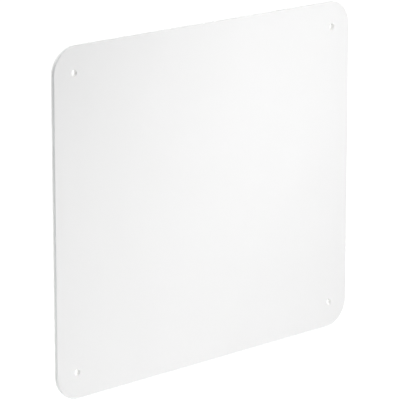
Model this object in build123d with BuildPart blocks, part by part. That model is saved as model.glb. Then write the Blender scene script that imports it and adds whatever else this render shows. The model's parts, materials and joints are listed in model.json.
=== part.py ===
"""Flat rectangular mirror panel that screws to a wall through a hole near each corner.

The panel is a bonded stack. From the wall to the front it holds a backing board, an adhesive sheet,
the mirror's back lacquer, its aluminium coat, a clear acrylic sheet with an arrised front edge, and a
white protective film that peels off the face. A ring of sealant closes the edge of the thin layers, and
a flanged sleeve in each hole takes the clamping load of the screw.

Units are millimetres. +Z is up, the face looks along -Y and the wall face lies in the plane Y = 0,
with the origin in the middle of the four holes. Depths are measured from the wall face towards -Y.
"""

import math
import os

from build123d import *

# Outline and screw holes
panel_width = 600.0
panel_height = 500.0
corner_radius = 40.0
hole_inset = 38.0
screw_bore = 10.0

# The stack, from the wall to the front
board_thickness = 2.5
adhesive_thickness = 0.25
lacquer_thickness = 0.1
coat_thickness = 0.05
acrylic_thickness = 3.0
film_thickness = 0.1

# Edges
arris = 0.6
board_edge_break = 0.3
seal_width = 2.0

# Sleeves in the screw holes
sleeve_wall = 1.0
sleeve_gap = 0.1
flange_overhang = 3.0
flange_thickness = 1.0
flange_edge_break = 0.2

# The film is punched a little wider than the screw bore, and stops where the acrylic's arris starts.
# It folds back along a line this far from the panel's centre, towards the top right corner.
film_hole_gap = 0.3
fold_distance = 100.0

# Places that follow from the sizes above
adhesive_depth = board_thickness
lacquer_depth = adhesive_depth + adhesive_thickness
coat_depth = lacquer_depth + lacquer_thickness
acrylic_depth = coat_depth + coat_thickness
film_depth = acrylic_depth + acrylic_thickness
hole_spacing_x = panel_width - 2 * hole_inset
hole_spacing_z = panel_height - 2 * hole_inset
sleeve_diameter = screw_bore + 2 * sleeve_wall
flange_diameter = sleeve_diameter + 2 * flange_overhang
sleeve_hole = sleeve_diameter + 2 * sleeve_gap
flange_recess = flange_diameter + 2 * sleeve_gap
seal_hole = sleeve_hole + 2 * seal_width
film_hole = screw_bore + 2 * film_hole_gap
hole_places = GridLocations(hole_spacing_x, hole_spacing_z, 2, 2)

CORNER_NAMES = ("bottom_left", "top_left", "bottom_right", "top_right")


def at_depth(depth):
    """Plane parallel to the wall, facing the front, at a depth from the wall face."""
    return Plane.XZ.offset(depth)


def draw_outline(setback, mode=Mode.ADD):
    """Panel outline moved in by a setback."""
    width = panel_width - 2 * setback
    height = panel_height - 2 * setback
    RectangleRounded(width, height, corner_radius - setback, mode=mode)


def draw_sheet(setback, hole_diameter):
    """Panel outline moved in by a setback, with a round hole at each screw."""
    draw_outline(setback)
    with hole_places:
        Circle(hole_diameter / 2, mode=Mode.SUBTRACT)


def write_part(built, name):
    """Labels a finished piece and writes it as one STEP file."""
    built.part.label = name
    export_step(built.part, f"parts/{name}.step")


def make_backing_board():
    """Rigid foamed board that lies on the wall, recessed for the sleeve flanges."""
    with BuildPart() as board:
        with BuildSketch(at_depth(0)):
            draw_sheet(0, sleeve_hole)
        extrude(amount=board_thickness)
        wall_face = board.faces().sort_by(Axis.Y)[-1]
        chamfer(wall_face.outer_wire().edges(), board_edge_break)
        with BuildSketch(at_depth(0)):
            with hole_places:
                Circle(flange_recess / 2)
        extrude(amount=flange_thickness, mode=Mode.SUBTRACT)
    write_part(board, "backing_board")


def make_inner_layer(name, depth, thickness):
    """Thin layer inside the sealed edge: adhesive, lacquer or aluminium coat."""
    with BuildPart() as layer:
        with BuildSketch(at_depth(depth)):
            draw_sheet(seal_width, seal_hole)
        extrude(amount=thickness)
    write_part(layer, name)


def make_edge_seal():
    """Sealant that rings the thin layers at the outline and round each sleeve."""
    with BuildPart() as seal:
        with BuildSketch(at_depth(adhesive_depth)):
            draw_outline(0)
            draw_outline(seal_width, mode=Mode.SUBTRACT)
        extrude(amount=acrylic_depth - adhesive_depth)
        with BuildSketch(at_depth(adhesive_depth)):
            with hole_places:
                Circle(seal_hole / 2)
                Circle(sleeve_hole / 2, mode=Mode.SUBTRACT)
        extrude(amount=acrylic_depth - adhesive_depth)
    write_part(seal, "edge_seal")


def make_acrylic_sheet():
    """Clear sheet whose back carries the mirror; its front edge has a polished arris."""
    with BuildPart() as sheet:
        with BuildSketch(at_depth(acrylic_depth)):
            draw_sheet(0, sleeve_hole)
        extrude(amount=acrylic_thickness)
        front_face = sheet.faces().sort_by(Axis.Y)[0]
        chamfer(front_face.outer_wire().edges(), arris)
    write_part(sheet, "acrylic_sheet")


def make_sleeve(name, place):
    """Flanged sleeve, pushed in from the wall side until its flange sits in the board."""
    with BuildPart() as sleeve:
        with BuildSketch(at_depth(0)):
            with Locations(place.position):
                Circle(sleeve_diameter / 2)
        extrude(amount=film_depth)
        with BuildSketch(at_depth(0)):
            with Locations(place.position):
                Circle(flange_diameter / 2)
        extrude(amount=flange_thickness)
        wall_face = sleeve.faces().sort_by(Axis.Y)[-1]
        chamfer(wall_face.outer_wire().edges(), flange_edge_break)
        with BuildSketch(at_depth(0)):
            with Locations(place.position):
                Circle(screw_bore / 2)
        extrude(amount=film_depth, mode=Mode.SUBTRACT)
    write_part(sleeve, name)


def make_film(name, kept_side):
    """One side of the protective film, cut along the line where it folds back."""
    fold_reach = fold_distance / math.sqrt(2)
    fold_plane = Plane(origin=(fold_reach, 0, fold_reach), z_dir=(1, 0, 1))
    with BuildPart() as film:
        with BuildSketch(at_depth(film_depth)):
            draw_sheet(arris, film_hole)
        extrude(amount=film_thickness)
        split(bisect_by=fold_plane, keep=kept_side)
    write_part(film, name)


os.makedirs("parts", exist_ok=True)
make_backing_board()
make_inner_layer("adhesive_sheet", adhesive_depth, adhesive_thickness)
make_inner_layer("back_lacquer", lacquer_depth, lacquer_thickness)
make_inner_layer("mirror_coat", coat_depth, coat_thickness)
make_edge_seal()
make_acrylic_sheet()
for corner_name, hole_place in zip(CORNER_NAMES, hole_places):
    make_sleeve(f"sleeve_{corner_name}", hole_place)
make_film("film_main", Keep.BOTTOM)
make_film("film_flap", Keep.TOP)
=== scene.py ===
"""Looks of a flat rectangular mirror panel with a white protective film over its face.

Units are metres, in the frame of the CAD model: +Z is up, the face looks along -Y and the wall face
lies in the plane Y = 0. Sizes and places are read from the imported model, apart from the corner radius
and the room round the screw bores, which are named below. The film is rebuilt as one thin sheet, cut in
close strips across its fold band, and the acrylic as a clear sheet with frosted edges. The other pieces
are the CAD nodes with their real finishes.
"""

import json
import math

import bmesh
import bpy
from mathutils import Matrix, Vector


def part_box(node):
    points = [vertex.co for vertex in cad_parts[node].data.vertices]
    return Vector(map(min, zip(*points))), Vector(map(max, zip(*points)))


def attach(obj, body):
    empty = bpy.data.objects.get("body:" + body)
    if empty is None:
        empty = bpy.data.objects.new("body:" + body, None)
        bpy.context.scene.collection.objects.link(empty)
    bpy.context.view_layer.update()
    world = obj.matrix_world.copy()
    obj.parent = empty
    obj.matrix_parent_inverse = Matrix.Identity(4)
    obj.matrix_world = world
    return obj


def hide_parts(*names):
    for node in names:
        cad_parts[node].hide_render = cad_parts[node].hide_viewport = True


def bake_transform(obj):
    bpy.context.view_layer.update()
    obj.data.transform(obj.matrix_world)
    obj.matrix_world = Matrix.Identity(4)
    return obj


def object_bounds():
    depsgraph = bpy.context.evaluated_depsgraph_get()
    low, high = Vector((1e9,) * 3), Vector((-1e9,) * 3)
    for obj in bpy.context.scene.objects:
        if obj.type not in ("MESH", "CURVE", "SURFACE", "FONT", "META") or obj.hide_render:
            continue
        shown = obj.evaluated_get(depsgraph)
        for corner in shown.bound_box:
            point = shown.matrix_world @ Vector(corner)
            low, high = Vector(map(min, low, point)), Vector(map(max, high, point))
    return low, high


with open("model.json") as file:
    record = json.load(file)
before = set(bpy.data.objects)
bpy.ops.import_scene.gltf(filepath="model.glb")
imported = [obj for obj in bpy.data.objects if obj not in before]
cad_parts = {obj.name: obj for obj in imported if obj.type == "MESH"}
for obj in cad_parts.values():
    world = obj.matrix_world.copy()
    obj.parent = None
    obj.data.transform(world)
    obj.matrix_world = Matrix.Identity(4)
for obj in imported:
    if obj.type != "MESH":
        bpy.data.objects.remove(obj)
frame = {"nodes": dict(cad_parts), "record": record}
cad_low, cad_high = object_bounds()

# Camera
CAMERA_AZIMUTH = math.radians(-45.59)
CAMERA_ELEVATION = math.radians(13.19)
CAMERA_DISTANCE = 4.039
CAMERA_LENS_MM = 252.3
CAMERA_CLIP_NEAR = 0.05
CAMERA_CLIP_FAR = 100.0
AIM_RIGHT = -0.0106
AIM_UP = -0.0092

# Sheets. The room is how much wider a hole's radius is than the screw bore's: the acrylic's holes take
# a sleeve, and the film's are punched a little wide.
PANEL_CORNER_RADIUS = 0.040
ACRYLIC_HOLE_ROOM = 0.0011
FILM_HOLE_ROOM = 0.0003
TOUCH_GAP = 0.00001
CORNER_STEPS = 24
HOLE_STEPS = 48

# The band of the film that bends, and the number of strips it is cut in
FOLD_WIDTH = 0.042
FOLD_STRIPS = 42

# Mesh limits. A cut face's normal has less than the limit along Y. The middle of a round corner lies
# in from both sides by just under the corner share of its radius.
WELD_DISTANCE = 1e-6
SAME_PLACE = 1e-7
CUT_FACE_LIMIT = 0.5
CORNER_SHARE = 0.3
SHARP_ANGLE = math.radians(40)

# Studio floor and walls. Fill is the light that the walls throw on the panel, and low and high are how
# bright they look in a mirror at and beyond a slope of minus and plus the wall slope.
FLOOR_DROP = 0.31
FLOOR_HALF_WIDTH = 1.6
WALL_FILL = 0.12
WALL_LOW = 0.30
WALL_HIGH = 0.85
WALL_SLOPE = 0.6
BACKDROP = 1.1

# Studio lights
SKYLIGHT_STRENGTH = 3.35
SKYLIGHT_ANGLE = math.radians(70.0)
SOFTBOXES = {
    "corner_key": {
        "place": (0.30, -0.55, 0.31), "aim": (0.22, 0.0, 0.19), "width": 0.4, "power": 1.00,
    },
    "middle_key": {
        "place": (0.05, -0.82, 0.20), "aim": (0.05, 0.0, 0.18), "width": 0.5, "power": 2.37,
    },
    "lower_key": {
        "place": (-0.30, -1.10, -0.25), "aim": (-0.15, 0.0, -0.13), "width": 0.5, "power": 1.50,
    },
    "side_light": {
        "place": (-1.50, 0.55, -0.70), "aim": (0.0, 0.0, 0.0), "width": 0.8, "power": 17.0,
    },
    "back_light": {
        "place": (-0.70, 1.40, 1.20), "aim": (0.0, 0.0, 0.0), "width": 0.8, "power": 11.5,
    },
}


# ---------------------------------------------------------------- node helpers

def add_node(tree, kind, settings=None, **values):
    """Adds a node, sets its options, and the values of its named sockets. _ stands for a space."""
    node = tree.nodes.new(kind)
    for option, value in (settings or {}).items():
        setattr(node, option, value)
    for socket, value in values.items():
        node.inputs[socket.replace("_", " ")].default_value = value
    return node


def calculate(tree, operation, *operands):
    """Adds a math node. Each operand is a number or the socket that feeds it."""
    node = add_node(tree, "ShaderNodeMath", {"operation": operation})
    for socket, operand in zip(node.inputs, operands):
        if isinstance(operand, (int, float)):
            socket.default_value = operand
        else:
            tree.links.new(operand, socket)
    return node.outputs[0]


def map_range(tree, value, to_low, to_high, from_low=0.0, from_high=1.0):
    """Adds a clamped linear map of a socket to a range. The socket runs from 0 to 1 unless told."""
    node = add_node(tree, "ShaderNodeMapRange", From_Min=from_low, From_Max=from_high,
                    To_Min=to_low, To_Max=to_high)
    tree.links.new(value, node.inputs["Value"])
    return node.outputs["Result"]


def mix_values(tree, factor, first, second):
    """Adds a mix between two values, each a number or a socket, by a factor socket."""
    change = calculate(tree, "SUBTRACT", second, first)
    return calculate(tree, "MULTIPLY_ADD", change, factor, first)


def mix_colours(tree, factor, first, second):
    """Adds a mix between two colours, each fixed or the socket that feeds it, by a factor socket."""
    node = add_node(tree, "ShaderNodeMix", {"data_type": "RGBA"})
    tree.links.new(factor, node.inputs["Factor"])
    for side, colour in (("A", first), ("B", second)):
        if isinstance(colour, tuple):
            node.inputs[side].default_value = (*colour, 1.0)
        else:
            tree.links.new(colour, node.inputs[side])
    return node.outputs["Result"]


def new_group(name, inputs, output):
    """Shader node group with named number inputs (name and default) and one named number output.

    Returns the group, and the nodes that stand for its inputs and its output.
    """
    group = bpy.data.node_groups.new(name, "ShaderNodeTree")
    for label, default in inputs.items():
        socket = group.interface.new_socket(label, in_out="INPUT", socket_type="NodeSocketFloat")
        socket.default_value = default
    group.interface.new_socket(output, in_out="OUTPUT", socket_type="NodeSocketFloat")
    return group, group.nodes.new("NodeGroupInput"), group.nodes.new("NodeGroupOutput")


def place_group(tree, group, **values):
    """Places a shader group in a material with its own values, and returns its output."""
    node = tree.nodes.new("ShaderNodeGroup")
    node.node_tree = group
    for socket, value in values.items():
        node.inputs[socket.replace("_", " ")].default_value = value
    return node.outputs[0]


# ---------------------------------------------------------------- shared surface effects

def make_fine_grain():
    """Even grain of a moulded, calendered or sprayed surface: Scale is grains per metre."""
    group, source, result = new_group("fine_grain", {"Scale": 1000.0, "Softness": 0.5}, "Grain")
    place = add_node(group, "ShaderNodeTexCoord")
    grain = add_node(group, "ShaderNodeTexNoise", Detail=2.0)
    group.links.new(place.outputs["Object"], grain.inputs["Vector"])
    group.links.new(source.outputs["Scale"], grain.inputs["Scale"])
    group.links.new(source.outputs["Softness"], grain.inputs["Roughness"])
    group.links.new(grain.outputs["Fac"], result.inputs["Grain"])
    return group


def make_soft_mottle():
    """Slow drift in tone with a finer drift on top, centred on 0.5: Scale is drifts per metre."""
    group, source, result = new_group("soft_mottle", {"Scale": 8.0, "Contrast": 1.0}, "Mottle")
    place = add_node(group, "ShaderNodeTexCoord")
    drift = add_node(group, "ShaderNodeTexNoise", Detail=3.0, Roughness=0.45)
    group.links.new(place.outputs["Object"], drift.inputs["Vector"])
    group.links.new(source.outputs["Scale"], drift.inputs["Scale"])
    middle = 0.5
    centred = calculate(group, "SUBTRACT", drift.outputs["Fac"], middle)
    spread = calculate(group, "MULTIPLY", centred, source.outputs["Contrast"])
    mottle = calculate(group, "ADD", spread, middle)
    group.links.new(mottle, result.inputs["Mottle"])
    return group


def make_scuffs():
    """Sparse hairline scuffs from handling, longer than they are wide: Amount is how many show."""
    group, source, result = new_group("scuffs", {"Scale": 60.0, "Amount": 0.3}, "Scuff")
    place = add_node(group, "ShaderNodeTexCoord")
    stretch = add_node(group, "ShaderNodeMapping", Rotation=(0.0, 0.5, 0.0), Scale=(0.12, 1.0, 3.0))
    hair = add_node(group, "ShaderNodeTexNoise", Detail=1.0, Distortion=0.4)
    group.links.new(place.outputs["Object"], stretch.inputs["Vector"])
    group.links.new(stretch.outputs["Vector"], hair.inputs["Vector"])
    group.links.new(source.outputs["Scale"], hair.inputs["Scale"])
    limit_at_none = 0.82
    drop_at_full = 0.25
    sharpness = 12.0
    drop = calculate(group, "MULTIPLY", source.outputs["Amount"], drop_at_full)
    limit = calculate(group, "SUBTRACT", limit_at_none, drop)
    above = calculate(group, "SUBTRACT", hair.outputs["Fac"], limit)
    scuff = calculate(group, "MULTIPLY", above, sharpness)
    scuff.node.use_clamp = True
    group.links.new(scuff, result.inputs["Scuff"])
    return group


FINE_GRAIN = make_fine_grain()
SOFT_MOTTLE = make_soft_mottle()
SCUFFS = make_scuffs()


# ---------------------------------------------------------------- materials

def new_material(name, **values):
    """Material whose Principled shader has the named values. _ stands for a space."""
    material = bpy.data.materials.new(name)
    material.use_nodes = True
    shader = material.node_tree.nodes["Principled BSDF"]
    for socket, value in values.items():
        shader.inputs[socket.replace("_", " ")].default_value = value
    return material, material.node_tree, shader


def add_bump(tree, shader, height, distance):
    """Feeds a height socket to the shader's normal. Distance is the height's full depth."""
    bump = add_node(tree, "ShaderNodeBump", Strength=1.0, Distance=distance)
    tree.links.new(height, bump.inputs["Height"])
    tree.links.new(bump.outputs["Normal"], shader.inputs["Normal"])


def make_film_white():
    """Matte white masking film: calendered grain, a slow drift in tone and a few hairline scuffs."""
    material, tree, shader = new_material("film_white", Specular_IOR_Level=0.4)
    grain = place_group(tree, FINE_GRAIN, Scale=1400.0, Softness=0.6)
    mottle = place_group(tree, SOFT_MOTTLE, Scale=9.0, Contrast=1.2)
    scuffs = place_group(tree, SCUFFS, Scale=90.0, Amount=0.2)
    colour = mix_colours(tree, mottle, (0.790, 0.790, 0.789), (0.805, 0.805, 0.805))
    tree.links.new(colour, shader.inputs["Base Color"])
    tree.links.new(map_range(tree, scuffs, 0.56, 0.44), shader.inputs["Roughness"])
    add_bump(tree, shader, grain, 0.00002)
    return material


def make_clear_acrylic():
    """Clear cast acrylic with polished faces and faint smudges."""
    material, tree, shader = new_material("clear_acrylic", Base_Color=(0.985, 0.99, 0.99, 1.0), IOR=1.49,
                                          Transmission_Weight=1.0)
    smudges = place_group(tree, SOFT_MOTTLE, Scale=30.0, Contrast=2.0)
    tree.links.new(map_range(tree, smudges, 0.01, 0.04, from_low=0.4), shader.inputs["Roughness"])
    return material


def make_milled_acrylic():
    """The sheet's routed edge: frosted by the cutter, with fine tool lines along it."""
    material, tree, shader = new_material("milled_acrylic", IOR=1.49, Transmission_Weight=0.1)
    place = add_node(tree, "ShaderNodeTexCoord")
    lines = add_node(tree, "ShaderNodeTexWave", {"bands_direction": "Y"}, Scale=900.0, Distortion=1.5,
                     Detail=2.0)
    tree.links.new(place.outputs["Object"], lines.inputs["Vector"])
    colour = mix_colours(tree, lines.outputs["Fac"], (0.69, 0.70, 0.70), (0.74, 0.75, 0.75))
    tree.links.new(colour, shader.inputs["Base Color"])
    tree.links.new(map_range(tree, lines.outputs["Fac"], 0.3, 0.42), shader.inputs["Roughness"])
    add_bump(tree, shader, lines.outputs["Fac"], 0.00002)
    return material


def make_mirror_coat():
    """Vacuum-coated aluminium seen through the acrylic, with the slight waviness of a plastic mirror."""
    material, tree, shader = new_material("mirror_coat", Base_Color=(0.93, 0.935, 0.935, 1.0), Metallic=1.0,
                                          Roughness=0.02)
    waves = place_group(tree, SOFT_MOTTLE, Scale=9.0, Contrast=1.0)
    add_bump(tree, shader, waves, 0.00004)
    return material


def make_lacquer_grey():
    """Sprayed grey back lacquer."""
    material, tree, shader = new_material("lacquer_grey", Roughness=0.5)
    mist = place_group(tree, FINE_GRAIN, Scale=900.0, Softness=0.6)
    colour = mix_colours(tree, mist, (0.16, 0.165, 0.17), (0.19, 0.195, 0.2))
    tree.links.new(colour, shader.inputs["Base Color"])
    add_bump(tree, shader, mist, 0.00003)
    return material


def make_adhesive_milky():
    """Milky transfer adhesive with faint trapped air."""
    material, tree, shader = new_material("adhesive_milky", Roughness=0.35)
    air = place_group(tree, SOFT_MOTTLE, Scale=180.0, Contrast=2.0)
    colour = mix_colours(tree, air, (0.66, 0.66, 0.64), (0.76, 0.76, 0.74))
    tree.links.new(colour, shader.inputs["Base Color"])
    return material


def make_sealant_neutral():
    """Tooled neutral sealant, slightly uneven along its bead."""
    material, tree, shader = new_material("sealant_neutral", Roughness=0.4)
    bead = place_group(tree, SOFT_MOTTLE, Scale=240.0, Contrast=1.5)
    colour = mix_colours(tree, bead, (0.56, 0.56, 0.55), (0.66, 0.66, 0.65))
    tree.links.new(colour, shader.inputs["Base Color"])
    add_bump(tree, shader, bead, 0.00008)
    return material


def add_rim_mask(tree, place):
    """1 on the narrow cut faces round a sheet and in its holes, 0 on its two large faces."""
    parts = add_node(tree, "ShaderNodeSeparateXYZ")
    tree.links.new(place.outputs["Normal"], parts.inputs["Vector"])
    facing = calculate(tree, "ABSOLUTE", parts.outputs["Y"])
    return map_range(tree, facing, 1.0, 0.0, from_low=0.3, from_high=0.6)


def make_foam_board():
    """Foamed PVC: satin calendered faces, and open cells along the sawn edge."""
    material, tree, shader = new_material("foam_board", Specular_IOR_Level=0.35)
    place = add_node(tree, "ShaderNodeTexCoord")
    rim = add_rim_mask(tree, place)
    grain = place_group(tree, FINE_GRAIN, Scale=520.0, Softness=0.55)
    mottle = place_group(tree, SOFT_MOTTLE, Scale=7.0, Contrast=1.4)
    scuffs = place_group(tree, SCUFFS, Scale=55.0, Amount=0.5)
    cells = add_node(tree, "ShaderNodeTexVoronoi", Scale=2600.0)
    tree.links.new(place.outputs["Object"], cells.inputs["Vector"])
    tone = mix_colours(tree, mottle, (0.855, 0.855, 0.85), (0.885, 0.885, 0.88))
    scuff_strength = 0.5
    worn = mix_colours(tree, calculate(tree, "MULTIPLY", scuffs, scuff_strength), tone, (0.80, 0.80, 0.79))
    tree.links.new(worn, shader.inputs["Base Color"])
    tree.links.new(map_range(tree, rim, 0.48, 0.85), shader.inputs["Roughness"])
    grain_share = 0.25
    pits = calculate(tree, "MULTIPLY", cells.outputs["Distance"], rim)
    faces = calculate(tree, "MULTIPLY", grain, grain_share)
    add_bump(tree, shader, calculate(tree, "ADD", pits, faces), 0.00015)
    return material


def make_natural_nylon():
    """Injection-moulded natural nylon with a fine spark-eroded skin."""
    material, tree, shader = new_material("natural_nylon", Specular_IOR_Level=0.45)
    skin = place_group(tree, FINE_GRAIN, Scale=2400.0, Softness=0.5)
    mottle = place_group(tree, SOFT_MOTTLE, Scale=90.0, Contrast=1.2)
    colour = mix_colours(tree, mottle, (0.84, 0.835, 0.825), (0.87, 0.867, 0.86))
    tree.links.new(colour, shader.inputs["Base Color"])
    tree.links.new(map_range(tree, skin, 0.38, 0.5), shader.inputs["Roughness"])
    add_bump(tree, shader, skin, 0.00002)
    return material


def finish_cad_nodes():
    """Gives each CAD node that stays visible its real finish."""
    finishes = {
        "backing_board": make_foam_board(),
        "adhesive_sheet": make_adhesive_milky(),
        "back_lacquer": make_lacquer_grey(),
        "mirror_coat": make_mirror_coat(),
        "edge_seal": make_sealant_neutral(),
    }
    nylon = make_natural_nylon()
    for node in frame["nodes"]:
        if node.startswith("sleeve_"):
            finishes[node] = nylon
    for node, material in finishes.items():
        for material_slot in frame["nodes"][node].material_slots:
            material_slot.material = material


# ---------------------------------------------------------------- geometry nodes

def make_drilled_sheet_tree():
    """Geometry tree: a rounded rectangular sheet that faces -Y, with a round hole near each corner.

    Rear is the rear face's Y. The two large faces and the cut edges have a material each.
    """
    tree = bpy.data.node_groups.new("drilled_sheet", "GeometryNodeTree")
    for label in ("Width", "Height", "Corner Radius", "Hole Spacing X", "Hole Spacing Z", "Hole Radius",
                  "Rear", "Thickness"):
        tree.interface.new_socket(label, in_out="INPUT", socket_type="NodeSocketFloat")
    for label in ("Face Material", "Edge Material"):
        tree.interface.new_socket(label, in_out="INPUT", socket_type="NodeSocketMaterial")
    tree.interface.new_socket("Geometry", in_out="OUTPUT", socket_type="NodeSocketGeometry")
    source = tree.nodes.new("NodeGroupInput")
    result = tree.nodes.new("NodeGroupOutput")
    link = tree.links.new

    outline = add_node(tree, "GeometryNodeCurvePrimitiveQuadrilateral")
    link(source.outputs["Width"], outline.inputs["Width"])
    link(source.outputs["Height"], outline.inputs["Height"])
    rounded = add_node(tree, "GeometryNodeFilletCurve", {"mode": "POLY"}, Count=CORNER_STEPS)
    link(outline.outputs["Curve"], rounded.inputs["Curve"])
    link(source.outputs["Corner Radius"], rounded.inputs["Radius"])

    corners = add_node(tree, "GeometryNodeMeshGrid", Vertices_X=2, Vertices_Y=2)
    link(source.outputs["Hole Spacing X"], corners.inputs["Size X"])
    link(source.outputs["Hole Spacing Z"], corners.inputs["Size Y"])
    hole = add_node(tree, "GeometryNodeCurvePrimitiveCircle", Resolution=HOLE_STEPS)
    link(source.outputs["Hole Radius"], hole.inputs["Radius"])
    holes = add_node(tree, "GeometryNodeInstanceOnPoints")
    link(corners.outputs["Mesh"], holes.inputs["Points"])
    link(hole.outputs["Curve"], holes.inputs["Instance"])
    cut_lines = add_node(tree, "GeometryNodeRealizeInstances")
    link(holes.outputs["Instances"], cut_lines.inputs["Geometry"])

    loops = add_node(tree, "GeometryNodeJoinGeometry")
    link(rounded.outputs["Curve"], loops.inputs["Geometry"])
    link(cut_lines.outputs["Geometry"], loops.inputs["Geometry"])
    face = add_node(tree, "GeometryNodeFillCurve", {"mode": "TRIANGLES"})
    link(loops.outputs["Geometry"], face.inputs["Curve"])

    upright = add_node(tree, "GeometryNodeTransform", Rotation=(math.radians(90), 0.0, 0.0))
    link(face.outputs["Mesh"], upright.inputs["Geometry"])
    rear_place = add_node(tree, "ShaderNodeCombineXYZ")
    link(source.outputs["Rear"], rear_place.inputs["Y"])
    link(rear_place.outputs["Vector"], upright.inputs["Translation"])

    raised = add_node(tree, "GeometryNodeExtrudeMesh", Individual=False)
    link(upright.outputs["Geometry"], raised.inputs["Mesh"])
    link(source.outputs["Thickness"], raised.inputs["Offset Scale"])
    back = add_node(tree, "GeometryNodeFlipFaces")
    link(upright.outputs["Geometry"], back.inputs["Mesh"])
    shell = add_node(tree, "GeometryNodeJoinGeometry")
    link(raised.outputs["Mesh"], shell.inputs["Geometry"])
    link(back.outputs["Mesh"], shell.inputs["Geometry"])
    closed = add_node(tree, "GeometryNodeMergeByDistance", Distance=WELD_DISTANCE)
    link(shell.outputs["Geometry"], closed.inputs["Geometry"])

    facing = add_node(tree, "GeometryNodeInputNormal")
    parts = add_node(tree, "ShaderNodeSeparateXYZ")
    link(facing.outputs["Normal"], parts.inputs["Vector"])
    facing_y = calculate(tree, "ABSOLUTE", parts.outputs["Y"])
    sideways = calculate(tree, "LESS_THAN", facing_y, CUT_FACE_LIMIT)
    realised = add_node(tree, "GeometryNodeRealizeInstances")
    link(closed.outputs["Geometry"], realised.inputs["Geometry"])
    faces_painted = add_node(tree, "GeometryNodeSetMaterial")
    link(realised.outputs["Geometry"], faces_painted.inputs["Geometry"])
    link(source.outputs["Face Material"], faces_painted.inputs["Material"])
    edges_painted = add_node(tree, "GeometryNodeSetMaterial")
    link(faces_painted.outputs["Geometry"], edges_painted.inputs["Geometry"])
    link(sideways, edges_painted.inputs["Selection"])
    link(source.outputs["Edge Material"], edges_painted.inputs["Material"])
    link(edges_painted.outputs["Geometry"], result.inputs["Geometry"])
    return tree


def piece_from_tree(name, tree, **values):
    """Runs a geometry tree with the named values and keeps the result as a plain mesh object."""
    piece = bpy.data.objects.new(name, bpy.data.meshes.new(name))
    bpy.context.scene.collection.objects.link(piece)
    modifier = piece.modifiers.new("shape", "NODES")
    modifier.node_group = tree
    for item in tree.interface.items_tree:
        if item.in_out == "INPUT":
            modifier[item.identifier] = values[item.name.replace(" ", "_")]
    evaluated = piece.evaluated_get(bpy.context.evaluated_depsgraph_get())
    mesh = bpy.data.meshes.new_from_object(evaluated)
    # The tree can leave an empty slot before those of its materials.
    if mesh.materials[0] is None:
        mesh.materials.pop(index=0)
    piece.modifiers.remove(modifier)
    piece.data = mesh
    mesh.name = name
    return piece


# ---------------------------------------------------------------- sheets

def named_entry(entries, name):
    """The entry of a list in the record that has a name."""
    return next(entry for entry in entries if entry["name"] == name)


def sheet_piece(name, tree, node, corner_radius, hole_room, face_material, edge_material, inset=0.0):
    """Sheet of the size of a CAD node. Inset keeps its two faces off the pieces that they touch."""
    low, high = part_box(node)
    holes = named_entry(frame["record"]["mounts"], "screw_holes")["dims"]
    return piece_from_tree(
        name,
        tree,
        Width=high.x - low.x,
        Height=high.z - low.z,
        Corner_Radius=corner_radius,
        Hole_Spacing_X=holes["spacing_x_mm"] / 1000,
        Hole_Spacing_Z=holes["spacing_y_mm"] / 1000,
        Hole_Radius=holes["hole_r_mm"] / 1000 + hole_room,
        Rear=high.y - inset,
        Thickness=high.y - low.y - 2 * inset,
        Face_Material=face_material,
        Edge_Material=edge_material,
    )


def make_acrylic(tree):
    """The clear sheet, with milled edges and a milled arris round its front."""
    sheet = sheet_piece("clear_sheet", tree, "acrylic_sheet", PANEL_CORNER_RADIUS, ACRYLIC_HOLE_ROOM,
                        make_clear_acrylic(), make_milled_acrylic(), inset=TOUCH_GAP)
    milled_slot = 1
    low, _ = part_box("acrylic_sheet")
    film_low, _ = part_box("film_main")
    arris = film_low.x - low.x
    work = bmesh.new()
    work.from_mesh(sheet.data)
    front = min(vert.co.y for vert in work.verts)
    outline = [edge for edge in work.edges if is_front_outline(edge, front, -low.x, -low.z)]
    bmesh.ops.bevel(work, geom=outline, offset=arris, segments=1, affect="EDGES", material=milled_slot)
    work.to_mesh(sheet.data)
    work.free()
    shade_sheet(sheet.data)
    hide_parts("acrylic_sheet")
    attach(sheet, "panel")


def is_front_outline(edge, front, half_width, half_height):
    """Whether an edge lies on the front of the outer outline, where one of its faces is a cut face."""
    if any(abs(vert.co.y - front) > SAME_PLACE for vert in edge.verts):
        return False
    middle = (edge.verts[0].co + edge.verts[1].co) / 2
    margin = PANEL_CORNER_RADIUS * CORNER_SHARE
    far_out = abs(middle.x) > half_width - margin or abs(middle.z) > half_height - margin
    return far_out and any(abs(face.normal.y) < CUT_FACE_LIMIT for face in edge.link_faces)


def make_film(tree):
    """The whole protective film as one sheet, with close cuts across the band where it bends."""
    low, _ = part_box("film_main")
    acrylic_low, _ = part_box("acrylic_sheet")
    white = make_film_white()
    corner_radius = PANEL_CORNER_RADIUS - (low.x - acrylic_low.x)
    film = sheet_piece("protective_film", tree, "film_main", corner_radius, FILM_HOLE_ROOM, white, white)
    joint = named_entry(frame["record"]["behaviour"]["joints"], "film_peel")
    fold_line = Vector(joint["pos_m"])
    across = Vector(joint["axis"]).cross(Vector((0.0, 1.0, 0.0))).normalized()
    cut_strips(film.data, fold_line, across)
    shade_sheet(film.data)
    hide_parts("film_main", "film_flap")
    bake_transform(film)


def cut_strips(mesh, start, across):
    """Cuts a mesh into narrow strips across the fold band, so that a bend there can follow a smooth curve.
    """
    work = bmesh.new()
    work.from_mesh(mesh)
    for step in range(FOLD_STRIPS + 1):
        place = start + across * (FOLD_WIDTH * step / FOLD_STRIPS)
        everything = work.verts[:] + work.edges[:] + work.faces[:]
        bmesh.ops.bisect_plane(work, geom=everything, plane_co=place, plane_no=across, dist=SAME_PLACE)
    work.to_mesh(mesh)
    work.free()


def shade_sheet(mesh):
    """Smooth shading over bends and round corners, with crisp edges where the sheet is cut."""
    mesh.shade_smooth()
    mesh.set_sharp_from_angle(angle=SHARP_ANGLE)


# ---------------------------------------------------------------- studio

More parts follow.
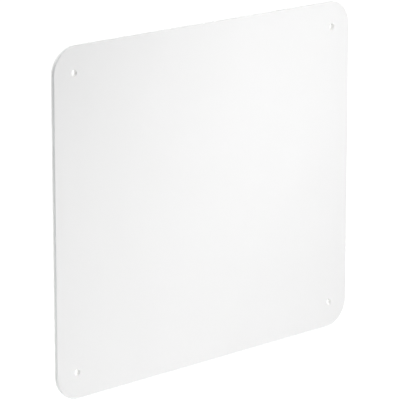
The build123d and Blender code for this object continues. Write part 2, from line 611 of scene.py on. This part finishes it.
def make_floor():
    """Plain pale floor, a little below the panel, which hangs as it would on a wall."""
    mesh = bpy.data.meshes.new("floor")
    height = cad_low.z - FLOOR_DROP
    reach = FLOOR_HALF_WIDTH
    signs = ((-1, -1), (1, -1), (1, 1), (-1, 1))
    corners = [(side * reach, depth * reach, height) for side, depth in signs]
    mesh.from_pydata(corners, [], [(0, 1, 2, 3)])
    floor = bpy.data.objects.new("floor", mesh)
    bpy.context.scene.collection.objects.link(floor)
    material, tree, shader = new_material("floor_pale", Roughness=0.9, Specular_IOR_Level=0.1)
    mottle = place_group(tree, SOFT_MOTTLE, Scale=1.5, Contrast=1.0)
    colour = mix_colours(tree, mottle, (0.93, 0.93, 0.93), (0.95, 0.95, 0.95))
    tree.links.new(colour, shader.inputs["Base Color"])
    mesh.materials.append(material)


def make_surroundings():
    """White studio walls: plain to the camera, a faint fill, and paler towards the ceiling in a mirror."""
    world = bpy.data.worlds.new("studio")
    bpy.context.scene.world = world
    world.use_nodes = True
    tree = world.node_tree
    tree.nodes.clear()
    direction = add_node(tree, "ShaderNodeTexCoord")
    parts = add_node(tree, "ShaderNodeSeparateXYZ")
    tree.links.new(direction.outputs["Generated"], parts.inputs["Vector"])
    rays = add_node(tree, "ShaderNodeLightPath")
    mirrored = calculate(tree, "MAXIMUM", rays.outputs["Is Glossy Ray"], rays.outputs["Is Transmission Ray"])
    slope = parts.outputs["Z"]
    reflection = map_range(tree, slope, WALL_LOW, WALL_HIGH, from_low=-WALL_SLOPE, from_high=WALL_SLOPE)
    strength = mix_values(tree, mirrored, WALL_FILL, reflection)
    strength = mix_values(tree, rays.outputs["Is Camera Ray"], strength, BACKDROP)
    walls = add_node(tree, "ShaderNodeBackground", Color=(1.0, 1.0, 1.0, 1.0))
    tree.links.new(strength, walls.inputs["Strength"])
    output = add_node(tree, "ShaderNodeOutputWorld")
    tree.links.new(walls.outputs[0], output.inputs["Surface"])


def add_softbox(name, place, aim, width, power):
    """Square area light at a place, turned towards a point, that no mirror or camera sees."""
    light = bpy.data.lights.new(name, "AREA")
    light.size = width
    light.energy = power
    lamp = bpy.data.objects.new(name, light)
    bpy.context.scene.collection.objects.link(lamp)
    lamp.location = place
    lamp.rotation_mode = "QUATERNION"
    lamp.rotation_quaternion = (Vector(aim) - Vector(place)).to_track_quat("-Z", "Y")
    lamp.visible_camera = False
    lamp.visible_glossy = False
    lamp.visible_transmission = False


def add_skylight():
    """Broad soft light from straight above, as from a studio's ceiling."""
    light = bpy.data.lights.new("skylight", "SUN")
    light.energy = SKYLIGHT_STRENGTH
    light.angle = SKYLIGHT_ANGLE
    lamp = bpy.data.objects.new("skylight", light)
    bpy.context.scene.collection.objects.link(lamp)


def make_camera():
    """Long lens from the left and a little above, turned to the middle of the panel."""
    middle = (cad_low + cad_high) / 2
    level = math.cos(CAMERA_ELEVATION)
    back = Vector((math.sin(CAMERA_AZIMUTH) * level, -math.cos(CAMERA_AZIMUTH) * level,
                   math.sin(CAMERA_ELEVATION)))
    turn = (-back).to_track_quat("-Z", "Y")
    aim = middle + turn @ Vector((AIM_RIGHT, AIM_UP, 0.0))
    data = bpy.data.cameras.new("camera")
    data.lens = CAMERA_LENS_MM
    data.clip_start = CAMERA_CLIP_NEAR
    data.clip_end = CAMERA_CLIP_FAR
    camera = bpy.data.objects.new("camera", data)
    bpy.context.scene.collection.objects.link(camera)
    camera.rotation_mode = "QUATERNION"
    camera.rotation_quaternion = turn
    camera.location = aim + back * CAMERA_DISTANCE
    bpy.context.scene.camera = camera


bpy.context.scene.view_settings.view_transform = "Standard"
make_camera()
make_floor()
make_surroundings()
for light_name, light_facts in SOFTBOXES.items():
    add_softbox(light_name, **light_facts)
add_skylight()
finish_cad_nodes()
drilled_sheet = make_drilled_sheet_tree()
make_acrylic(drilled_sheet)
make_film(drilled_sheet)
